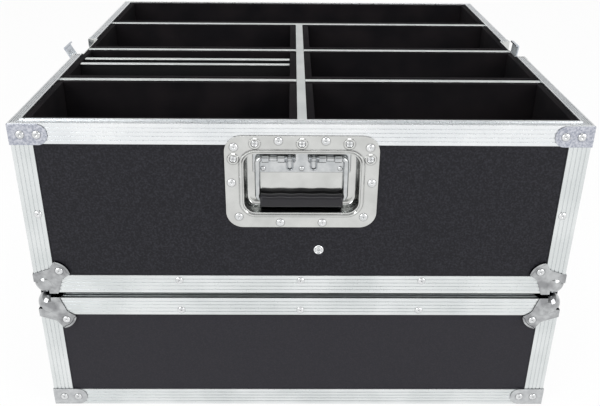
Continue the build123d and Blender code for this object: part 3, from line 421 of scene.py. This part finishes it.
def seat_points(name, seats):
    """Mesh of one point per seat, each with the direction it faces."""
    mesh = bpy.data.meshes.new(name)
    mesh.from_pydata([foot for foot, _ in seats], [], [])
    facing = mesh.attributes.new("facing", "FLOAT_VECTOR", "POINT")
    facing.data.foreach_set("vector", [value for _, way in seats for value in way])
    return placed(name, mesh)


def facing_rotation(tree):
    """Turn that brings +Z to the direction each seat faces."""
    way = add_node(
        tree, "GeometryNodeInputNamedAttribute", {"data_type": "FLOAT_VECTOR"}, {"Name": "facing"}
    )
    turned = add_node(
        tree, "FunctionNodeAlignRotationToVector", {"axis": "Z"}, {"Vector": way.outputs["Attribute"]}
    )
    return turned.outputs["Rotation"]


def close_tree(tree, copies, finish, result):
    """Make the copies real, give them their finish and hand them out."""
    real = add_node(tree, "GeometryNodeRealizeInstances", inputs={"Geometry": copies})
    values = {"Geometry": real.outputs["Geometry"], "Material": finish}
    done = add_node(tree, "GeometryNodeSetMaterial", inputs=values)
    add_node(tree, "NodeGroupOutput", inputs={result: done.outputs["Geometry"]})


def head_tree(name, finish):
    """Tree that puts one dented dome on every point and turns it to face outwards."""
    tree = bpy.data.node_groups.new(name, "GeometryNodeTree")
    tree.interface.new_socket("Seats", in_out="INPUT", socket_type="NodeSocketGeometry")
    for label in ("Head radius", "Head height", "Dent radius", "Dent depth"):
        tree.interface.new_socket(label, in_out="INPUT", socket_type="NodeSocketFloat")
    tree.interface.new_socket("Heads", in_out="OUTPUT", socket_type="NodeSocketGeometry")
    given = add_node(tree, "NodeGroupInput").outputs
    ball = add_node(
        tree,
        "GeometryNodeMeshUVSphere",
        inputs={"Segments": HEAD_SEGMENTS, "Rings": HEAD_RINGS, "Radius": 1.0},
    )
    place = add_node(tree, "GeometryNodeInputPosition").outputs["Position"]
    parts = add_node(tree, "ShaderNodeSeparateXYZ", inputs={"Vector": place}).outputs
    level = add_node(tree, "ShaderNodeCombineXYZ", inputs={"X": parts["X"], "Y": parts["Y"]})
    reach = add_node(
        tree, "ShaderNodeVectorMath", {"operation": "LENGTH"}, {0: level.outputs["Vector"]}
    )
    wide = add_node(
        tree,
        "ShaderNodeMath",
        {"operation": "MULTIPLY"},
        {0: reach.outputs["Value"], 1: given["Head radius"]},
    )
    dome = add_node(tree, "ShaderNodeMath", {"operation": "MAXIMUM"}, {0: parts["Z"], 1: 0.0})
    tall = add_node(
        tree,
        "ShaderNodeMath",
        {"operation": "MULTIPLY"},
        {0: dome.outputs["Value"], 1: given["Head height"]},
    )
    dent = add_node(
        tree,
        "ShaderNodeMapRange",
        {"interpolation_type": "SMOOTHSTEP"},
        {
            "Value": wide.outputs["Value"],
            "From Min": 0.0,
            "From Max": given["Dent radius"],
            "To Min": given["Dent depth"],
            "To Max": 0.0,
        },
    )
    sunk = add_node(
        tree,
        "ShaderNodeMath",
        {"operation": "SUBTRACT"},
        {0: tall.outputs["Value"], 1: dent.outputs["Result"]},
    )
    height = add_node(
        tree, "ShaderNodeMath", {"operation": "MAXIMUM"}, {0: sunk.outputs["Value"], 1: 0.0}
    )
    spread = add_node(
        tree,
        "ShaderNodeVectorMath",
        {"operation": "SCALE"},
        {0: level.outputs["Vector"], "Scale": given["Head radius"]},
    )
    risen = add_node(tree, "ShaderNodeCombineXYZ", inputs={"Z": height.outputs["Value"]})
    shaped = add_node(
        tree,
        "ShaderNodeVectorMath",
        {"operation": "ADD"},
        {0: spread.outputs["Vector"], 1: risen.outputs["Vector"]},
    )
    values = {"Geometry": ball.outputs["Mesh"], "Position": shaped.outputs["Vector"]}
    head = add_node(tree, "GeometryNodeSetPosition", inputs=values)
    smooth = add_node(tree, "GeometryNodeSetShadeSmooth", inputs={"Geometry": head.outputs["Geometry"]})
    values = {
        "Points": given["Seats"],
        "Instance": smooth.outputs["Geometry"],
        "Rotation": facing_rotation(tree),
    }
    copies = add_node(tree, "GeometryNodeInstanceOnPoints", inputs=values)
    close_tree(tree, copies.outputs["Instances"], finish, "Heads")
    return tree


def grown_piece(name, host, tree, values):
    """Run a tree on its host object and keep the result as a plain piece."""
    modifier = host.modifiers.new(name, "NODES")
    modifier.node_group = tree
    for socket in tree.interface.items_tree:
        if socket.in_out == "INPUT" and socket.name in values:
            modifier[socket.identifier] = values[socket.name]
    evaluated = host.evaluated_get(bpy.context.evaluated_depsgraph_get())
    mesh = bpy.data.meshes.new_from_object(evaluated)
    mesh.name = name
    bpy.data.objects.remove(host)
    return placed(name, mesh)


# Its painted shade darkens the mandrel dent and the edge under each head.
rivet_finish = plated(
    "bright_rivet_steel", ("#D2D4D5", "#E4E5E6"), (0.16, 0.3), patch_mm=6.0, mark_mm=1.2
)
rivet_tree = head_tree("rivet_heads", rivet_finish)
rivet_sizes = {
    "Head radius": RIVET_RADIUS,
    "Head height": RIVET_HEIGHT,
    "Dent radius": RIVET_DENT_RADIUS,
    "Dent depth": RIVET_DENT,
}
for half in ("lid", "base"):
    node = f"{half}_rivets"
    seats = seat_points(f"{half}_rivet_seats", head_seats(node))
    heads = grown_piece(f"{half}_domed_rivets", seats, rivet_tree, rivet_sizes)
    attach(heads, half)
    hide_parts(node)


# Board screws: cross-headed screws in pressed cup washers, one in the front and three in each
# side, which hold the small angles at the ends of the divider boards. Sizes here are in mm.
WASHER_PROFILE = (
    (0.0, 1.45),
    (4.1, 1.0),
    (4.3, 0.5),
    (4.7, 1.15),
    (5.3, 1.3),
    (5.9, 0.95),
    (6.4, 0.0),
)
FOOT_DEPTH = 0.1
CROSS_REACH = 2.1
CROSS_HALF_WIDTH = 0.55
CROSS_DEPTH = 1.0
CROSS_EDGE = 0.25
SCREW_RINGS = 26
SCREW_SPOKES = 48


def height_along(profile, reach):
    """Height of a turned profile at a distance from its axis."""
    for (r0, z0), (r1, z1) in zip(profile, profile[1:]):
        if reach <= r1:
            return z0 + (z1 - z0) * (reach - r0) / (r1 - r0)
    return profile[-1][1]


def cross_share(x, y):
    """How fully a point lies in the cross recess, from 0 outside to 1."""
    bars = []
    for along, across in ((abs(x), abs(y)), (abs(y), abs(x))):
        inside = min(CROSS_REACH - along, CROSS_HALF_WIDTH - across)
        bars.append(min(max(inside / CROSS_EDGE + 1, 0.0), 1.0))
    return max(bars)


def screw_form():
    """One screw head in its washer, closed underneath, facing +Z at the origin."""
    rim = WASHER_PROFILE[-1][0]
    points = [(0.0, 0.0, WASHER_PROFILE[0][1] - CROSS_DEPTH)]
    for ring in range(1, SCREW_RINGS + 1):
        reach = rim * ring / SCREW_RINGS
        for spoke in range(SCREW_SPOKES):
            turn = math.tau * spoke / SCREW_SPOKES
            x, y = reach * math.cos(turn), reach * math.sin(turn)
            z = height_along(WASHER_PROFILE, reach) - CROSS_DEPTH * cross_share(x, y)
            points.append((x, y, z))
    points.append((0.0, 0.0, -FOOT_DEPTH))
    faces = []
    last = 1 + (SCREW_RINGS - 1) * SCREW_SPOKES
    for spoke in range(SCREW_SPOKES):
        after = (spoke + 1) % SCREW_SPOKES
        faces.append((0, 1 + spoke, 1 + after))
        for ring in range(SCREW_RINGS - 1):
            inner = 1 + ring * SCREW_SPOKES
            outer = inner + SCREW_SPOKES
            faces.append((inner + spoke, outer + spoke, outer + after, inner + after))
        faces.append((len(points) - 1, last + after, last + spoke))
    mesh = bpy.data.meshes.new("screw_form")
    mesh.from_pydata([tuple(value / MM_PER_METRE for value in point) for point in points], [], faces)
    mesh.shade_smooth()
    return bpy.data.objects.new("screw_form", mesh)


def set_tree(name, form, finish):
    """Tree that sets a copy of a finished form on every point, turned to face outwards."""
    tree = bpy.data.node_groups.new(name, "GeometryNodeTree")
    tree.interface.new_socket("Seats", in_out="INPUT", socket_type="NodeSocketGeometry")
    tree.interface.new_socket("Size", in_out="INPUT", socket_type="NodeSocketFloat")
    tree.interface.new_socket("Pieces", in_out="OUTPUT", socket_type="NodeSocketGeometry")
    given = add_node(tree, "NodeGroupInput").outputs
    shape = add_node(tree, "GeometryNodeObjectInfo", inputs={"Object": form}).outputs["Geometry"]
    copies = add_node(
        tree,
        "GeometryNodeInstanceOnPoints",
        inputs={
            "Points": given["Seats"],
            "Instance": shape,
            "Rotation": facing_rotation(tree),
            "Scale": given["Size"],
        },
    )
    close_tree(tree, copies.outputs["Instances"], finish, "Pieces")
    return tree


screw_finish = plated(
    "bright_screw_zinc",
    tones=("#DADCDD", "#E8E9EA"),
    roughness=(0.12, 0.26),
    patch_mm=6.0,
    mark_mm=1.2,
    # Painted shade darkens the cross recess and the washer's groove.
    shade_reach_mm=0.9,
)
cross_screw = screw_form()
screw_tree = set_tree("screws_on_seats", cross_screw, screw_finish)
screw_seats = seat_points("screw_seats", head_seats("bracket_screws"))
screws = grown_piece("cross_headed_screws", screw_seats, screw_tree, {"Size": 1.0})
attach(screws, "base")
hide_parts("bracket_screws")


# Flange screws: the same cross-headed kind in a smaller size, sunk in the five stamped rosettes
# of each handle flange.
FLANGE_SCREW_SIZE = 0.66
ROSETTE_DROP = 0.0095
ROSETTE_X = 0.054
SIDE_ROSETTE_INSET = 0.010
SIDE_ROSETTE_RISE = 0.030
FLANGE_FACE = 0.0015
flange_seats = []
for side in ("front", "back"):
    low, high = (Vector(corner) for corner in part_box(f"{side}_handle_dish"))
    outward = -1.0 if side == "front" else 1.0
    face_y = low.y + FLANGE_FACE if side == "front" else high.y - FLANGE_FACE
    side_x = high.x - SIDE_ROSETTE_INSET
    side_z = (low.z + high.z) / 2 + SIDE_ROSETTE_RISE
    spots = [(x, high.z - ROSETTE_DROP) for x in (-ROSETTE_X, 0.0, ROSETTE_X)]
    spots += [(-side_x, side_z), (side_x, side_z)]
    flange_seats += [(Vector((x, face_y, z)), Vector((0, outward, 0))) for x, z in spots]
flange_screws = grown_piece(
    "flange_screws", seat_points("flange_seats", flange_seats), screw_tree, {"Size": FLANGE_SCREW_SIZE}
)
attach(flange_screws, "base")
bpy.data.objects.remove(cross_screw)


# Handle: a bar of plated steel bent to a U, its ends turned into four knuckles of a pressed
# hinge plate, with a moulded black rubber grip along its lower bar.
bar_finish = plated(
    "plated_handle_bar", ("#BCBFC1", "#D0D2D3"), (0.08, 0.16), patch_mm=10.0, mark_mm=1.2
)
dress(bar_finish, "front_handle_bail", "back_handle_bail", "handle_hinge_plates")

PLATE_RIVET_XS = (-0.0455, 0.0, 0.0455)
PLATE_RIVET_DROP = 0.0204
PLATE_WALL = 0.0015
plate_seats = []
for points in loose_parts("handle_hinge_plates"):
    low, high = box_of(points)
    outward = -1.0 if low.y < 0 else 1.0
    face_y = high.y - PLATE_WALL if outward < 0 else low.y + PLATE_WALL
    for x in PLATE_RIVET_XS:
        plate_seats.append((Vector((x, face_y, high.z - PLATE_RIVET_DROP)), Vector((0, outward, 0))))
plate_rivet_sizes = {
    "Head radius": 0.003,
    "Head height": 0.0013,
    "Dent radius": 0.0012,
    "Dent depth": 0.0008,
}
plate_rivets = grown_piece(
    "hinge_plate_rivets", seat_points("plate_seats", plate_seats), rivet_tree, plate_rivet_sizes
)
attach(plate_rivets, "base")


# Return springs: hard-drawn wire wound into two short coils on each end of the handle bar, with
# a U-shaped loop between them that presses on the hinge plate.
COIL_REACH = 0.00495
WIRE_RADIUS = 0.00062
WIRE_SIDES = 10
LOOP_HALF_WIDTH = 0.0031
COIL_TURNS = 2
COIL_PITCH = 0.0014
COIL_STEPS = 18
LOOP_DROP = 0.0137
LOOP_STEPS = 8


def wire_tree(name, finish):
    """Tree that turns a line into round wire with closed ends."""
    tree = bpy.data.node_groups.new(name, "GeometryNodeTree")
    tree.interface.new_socket("Line", in_out="INPUT", socket_type="NodeSocketGeometry")
    tree.interface.new_socket("Wire radius", in_out="INPUT", socket_type="NodeSocketFloat")
    tree.interface.new_socket("Wires", in_out="OUTPUT", socket_type="NodeSocketGeometry")
    given = add_node(tree, "NodeGroupInput").outputs
    line = add_node(tree, "GeometryNodeMeshToCurve", inputs={"Mesh": given["Line"]})
    values = {"Resolution": WIRE_SIDES, "Radius": given["Wire radius"]}
    ring = add_node(tree, "GeometryNodeCurvePrimitiveCircle", inputs=values)
    values = {
        "Curve": line.outputs["Curve"],
        "Profile Curve": ring.outputs["Curve"],
        "Fill Caps": True,
    }
    wire = add_node(tree, "GeometryNodeCurveToMesh", inputs=values)
    smooth = add_node(tree, "GeometryNodeSetShadeSmooth", inputs={"Geometry": wire.outputs["Mesh"]})
    close_tree(tree, smooth.outputs["Geometry"], finish, "Wires")
    return tree


def spring_line(middle, inward):
    """Centre line of one double spring round the handle bar, with its loop inwards of the bar."""
    reach = COIL_REACH - WIRE_RADIUS
    coil = []
    for step in range(COIL_TURNS * COIL_STEPS + 1):
        turn = math.tau * step / COIL_STEPS
        x = LOOP_HALF_WIDTH + COIL_PITCH * step / COIL_STEPS
        coil.append((x, reach * math.cos(turn), reach * math.sin(turn)))
    loop = []
    for step in range(LOOP_STEPS + 1):
        turn = math.pi * step / LOOP_STEPS
        x, drop = -LOOP_HALF_WIDTH * math.cos(turn), LOOP_HALF_WIDTH * math.sin(turn)
        loop.append((x, reach, -LOOP_DROP - drop))
    line = [(-x, y, z) for x, y, z in reversed(coil)] + loop + coil
    return [middle + Vector((x, inward * y, z)) for x, y, z in line]


def line_object(name, lines):
    """Object of open lines, ready to be turned into wire."""
    points = []
    edges = []
    for line in lines:
        start = len(points)
        points += line
        edges += [(start + step, start + step + 1) for step in range(len(line) - 1)]
    mesh = bpy.data.meshes.new(name)
    mesh.from_pydata(points, edges, [])
    return placed(name, mesh)


spring_finish = plated(
    "spring_steel_wire", ("#9DA1A5", "#B9BDC1"), (0.2, 0.35), patch_mm=4.0, mark_mm=1.0
)
spring_lines = []
for points in loose_parts("handle_springs"):
    low, high = box_of(points)
    inward = 1.0 if low.y < 0 else -1.0
    bar_y = low.y + COIL_REACH if inward > 0 else high.y - COIL_REACH
    middle = Vector(((low.x + high.x) / 2, bar_y, high.z - COIL_REACH))
    spring_lines.append(spring_line(middle, inward))
spring_wires = wire_tree("spring_wires", spring_finish)
springs = grown_piece(
    "wound_return_springs",
    line_object("spring_lines", spring_lines),
    spring_wires,
    {"Wire radius": WIRE_RADIUS},
)
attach(springs, "base")
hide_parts("handle_springs")


# Handle grips: black rubber moulded on the bar, slightly waved for the fingers along the top,
# with a faint sheen on the rounded front and soft ends. A slack thins the grip at top and foot.
GRIP_STATIONS = 44
GRIP_POINTS = 36
GRIP_SQUARENESS = 2.7
GRIP_END = 0.0022
GRIP_END_SHRINK = 0.14
FINGER_COUNT = 4
FINGER_WAVE = 0.0007
GRIP_TOP_SLACK = 0.0042
GRIP_LOW_SLACK = 0.0006

grip_finish, grip_tree, grip_shader = new_finish(
    "moulded_rubber", IOR=1.5, Roughness=0.3, Specular_IOR_Level=0.4
)
grip_grain = grain(grip_tree, 0.9)
grip_tree.links.new(
    blend_colours(grip_tree, grip_grain.outputs["Fac"], "#17161A", "#201F24"),
    grip_shader.inputs["Base Color"],
)
roughen(grip_tree, grip_shader, grip_grain.outputs["Fac"], depth_mm=0.03)


def grip_form(name, low, high):
    """Rounded bar of rubber that fills a box, waved along its upper side."""
    middle = (low + high) / 2
    half = (high - low) / 2
    power = 2 / GRIP_SQUARENESS
    points = []
    for station in range(GRIP_STATIONS + 1):
        along = station / GRIP_STATIONS
        x = low.x + (high.x - low.x) * (0.5 - 0.5 * math.cos(math.pi * along))
        near_end = max(0.0, 1 - min(x - low.x, high.x - x) / GRIP_END)
        size = 1 - GRIP_END_SHRINK * near_end**2
        share = (x - low.x) / (high.x - low.x)
        wave = FINGER_WAVE * (0.5 - 0.5 * math.cos(math.tau * FINGER_COUNT * share))
        for step in range(GRIP_POINTS):
            turn = math.tau * step / GRIP_POINTS
            side, up = math.cos(turn), math.sin(turn)
            y = middle.y + half.y * size * math.copysign(abs(side) ** power, side)
            z = middle.z + half.z * size * math.copysign(abs(up) ** power, up)
            points.append((x, y, z - wave * max(up, 0.0)))
    faces = [tuple(range(GRIP_POINTS))]
    for station in range(GRIP_STATIONS):
        ring = station * GRIP_POINTS
        for step in range(GRIP_POINTS):
            after = (step + 1) % GRIP_POINTS
            beyond = ring + GRIP_POINTS
            faces.append((ring + step, beyond + step, beyond + after, ring + after))
    end = GRIP_STATIONS * GRIP_POINTS
    faces.append(tuple(end + step for step in reversed(range(GRIP_POINTS))))
    mesh = bpy.data.meshes.new(name)
    mesh.from_pydata(points, [], faces)
    form = bmesh.new()
    form.from_mesh(mesh)
    bmesh.ops.recalc_face_normals(form, faces=form.faces)
    form.to_mesh(mesh)
    form.free()
    mesh.shade_smooth()
    mesh.set_sharp_from_angle(angle=math.radians(50))
    mesh.materials.append(grip_finish)
    return placed(name, mesh)


for side in ("front", "back"):
    low, high = (Vector(corner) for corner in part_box(f"{side}_handle_grip"))
    low.z += GRIP_LOW_SLACK
    high.z -= GRIP_TOP_SLACK
    rubber = grip_form(f"{side}_rubber_grip", low, high)
    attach(rubber, f"{side}_handle")
    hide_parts(f"{side}_handle_grip")


# Butterfly latches: stamped and folded steel, bright zinc plated. A cam under the thumb wing
# draws the hooked claw down its cradle, and the whole latch tilts out on its pin.
latch_finish = plated(
    "zinc_plated_latch", ("#B4B9C2", "#CBD0D6"), (0.2, 0.34), patch_mm=8.0, mark_mm=1.2
)
LATCH_PARTS = ("cradle", "claw", "spindle", "wing")
dress(
    latch_finish,
    "lid_latch_catches",
    "latch_brackets",
    "latch_pins",
    *[f"{side}_latch_{part}" for side in ("left", "right") for part in LATCH_PARTS],
)


# Foam linings: black closed-cell foam sheet, cut to pads and glued to the floor and walls of
# every bay. It is matt, with softened edges and a slow change of tone.
FOAM_EDGE = 0.0012
FOAM_SWELL = 0.0018


def foam_pads(name, node, finish, swell=0.0):
    """Foam pieces in the places of the CAD pads, with softened edges and tops swollen a little."""
    form = bmesh.new()
    form.from_mesh(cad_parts[node].data)
    bmesh.ops.remove_doubles(form, verts=form.verts, dist=1e-6)
    top = max(vertex.co.z for vertex in form.verts)
    for vertex in form.verts:
        if top - vertex.co.z < FOAM_EDGE:
            vertex.co.z += swell
    bmesh.ops.dissolve_limit(form, angle_limit=math.radians(1), verts=form.verts, edges=form.edges)
    bmesh.ops.bevel(
        form,
        geom=[edge for edge in form.edges if edge.is_convex and edge.calc_length() > 4 * FOAM_EDGE],
        offset=FOAM_EDGE,
        segments=2,
        profile=0.5,
        affect="EDGES",
        clamp_overlap=True,
    )
    bmesh.ops.triangulate(form, faces=form.faces)
    mesh = bpy.data.meshes.new(name)
    form.to_mesh(mesh)
    form.free()
    mesh.materials.append(finish)
    mesh.set_sharp_from_angle(angle=math.radians(40))
    return placed(name, mesh)


foam_finish, foam_tree, foam_shader = new_finish(
    "closed_cell_foam", IOR=1.45, Roughness=0.9, Specular_IOR_Level=0.12
)
cells = grain(foam_tree, 1.4, detail=3.0)
foam_clouds = grain(foam_tree, 50.0)
foam_tree.links.new(
    blend_colours(foam_tree, foam_clouds.outputs["Fac"], "#0B0A0D", "#151214"),
    foam_shader.inputs["Base Color"],
)
roughen(foam_tree, foam_shader, cells.outputs["Fac"], depth_mm=0.15)
for node, body, swell in (
    ("wall_linings", "base", FOAM_SWELL),
    ("recessed_wall_linings", "base", FOAM_SWELL),
    ("floor_linings", "base", 0.0),
    ("lid_pad", "lid", 0.0),
):
    pads = foam_pads(f"{node}_foam", node, foam_finish, swell)
    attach(pads, body)
    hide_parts(node)


# Studio: the case stands on a white sweep under soft boxes, seen from the front and above. The
# sweep shows as white to the camera and in the metal, and keeps the shadow under the case.
CAMERA_PLACE = (-0.012, -1.113, 0.700)
CAMERA_PITCH = math.radians(26.67)
CAMERA_YAW = math.radians(0.75)
CAMERA_ROLL = math.radians(0.55)
FOCAL_PIXELS = 742.0
PHOTO_WIDTH = 600.0
SENSOR = 36.0
camera_data = bpy.data.cameras.new("camera")
camera_data.sensor_width = SENSOR
camera_data.lens = FOCAL_PIXELS * SENSOR / PHOTO_WIDTH
camera = bpy.data.objects.new("camera", camera_data)
bpy.context.scene.collection.objects.link(camera)
aim = Euler((math.pi / 2 - CAMERA_PITCH, 0, -CAMERA_YAW), "XYZ").to_matrix()
turned = (aim @ Matrix.Rotation(CAMERA_ROLL, 3, "Z")).to_4x4()
camera.matrix_world = Matrix.Translation(CAMERA_PLACE) @ turned
bpy.context.scene.camera = camera

FLOOR_REACH = 6.0
WALL_HEIGHT = 2.2
WALL_SIDES = 48
FLOOR_GLOW = 0.95
turns = [math.tau * side / WALL_SIDES for side in range(WALL_SIDES)]
corners = [(FLOOR_REACH * math.cos(turn), FLOOR_REACH * math.sin(turn)) for turn in turns]
wall_faces = []
for side in range(WALL_SIDES):
    after = (side + 1) % WALL_SIDES
    wall_faces.append((after, side, WALL_SIDES + side, WALL_SIDES + after))
floor_mesh = bpy.data.meshes.new("white_sweep")
floor_mesh.from_pydata(
    [(x, y, 0.0) for x, y in corners] + [(x, y, WALL_HEIGHT) for x, y in corners],
    [],
    [tuple(range(WALL_SIDES))] + wall_faces,
)
floor = placed("white_sweep", floor_mesh)
floor_finish, floor_tree, floor_shader = new_finish("white_paper", Roughness=0.8)
floor_shader.inputs["Base Color"].default_value = hex_colour("#F4F4F4")
ray = add_node(floor_tree, "ShaderNodeLightPath").outputs
seen = add_node(
    floor_tree,
    "ShaderNodeMath",
    {"operation": "MAXIMUM"},
    {0: ray["Is Camera Ray"], 1: ray["Is Glossy Ray"]},
)
share = add_node(
    floor_tree,
    "ShaderNodeMath",
    {"operation": "MULTIPLY"},
    {0: seen.outputs["Value"], 1: FLOOR_GLOW},
)
glow = add_node(floor_tree, "ShaderNodeEmission", inputs={"Color": (1, 1, 1, 1), "Strength": 1.0})
mixed = add_node(
    floor_tree,
    "ShaderNodeMixShader",
    inputs={0: share.outputs["Value"], 1: floor_shader.outputs["BSDF"], 2: glow.outputs["Emission"]},
)
floor_output = next(node for node in floor_tree.nodes if node.bl_idname == "ShaderNodeOutputMaterial")
floor_tree.links.new(mixed.outputs["Shader"], floor_output.inputs["Surface"])
floor_mesh.materials.append(floor_finish)

WORLD_LEVEL = 0.46
world = bpy.data.worlds.new("studio")
bpy.context.scene.world = world
world.use_nodes = True
world_tree = world.node_tree
world_tree.nodes.clear()
white = {"Color": (1, 1, 1, 1), "Strength": WORLD_LEVEL}
soft = add_node(world_tree, "ShaderNodeBackground", inputs=white)
add_node(world_tree, "ShaderNodeOutputWorld", inputs={"Surface": soft.outputs["Background"]})


LAMP_TARGET = (0, 0, 0.2)


def soft_box(name, place, size, power):
    """Large soft lamp aimed at the middle of the case."""
    lamp_data = bpy.data.lights.new(name, "AREA")
    lamp_data.shape = "RECTANGLE"
    lamp_data.size, lamp_data.size_y = size
    lamp_data.energy = power
    lamp = bpy.data.objects.new(name, lamp_data)
    way = Vector(LAMP_TARGET) - Vector(place)
    lamp.matrix_world = Matrix.Translation(place) @ way.to_track_quat("-Z", "Y").to_matrix().to_4x4()
    bpy.context.scene.collection.objects.link(lamp)


soft_box("overhead", place=(0.0, -0.3, 2.4), size=(1.8, 1.4), power=32.0)
soft_box("front_left", place=(-1.6, -2.0, 1.3), size=(1.4, 1.4), power=26.0)
soft_box("front_right", place=(1.7, -1.8, 1.1), size=(1.4, 1.4), power=20.0)
bpy.context.scene.view_settings.view_transform = "Standard"
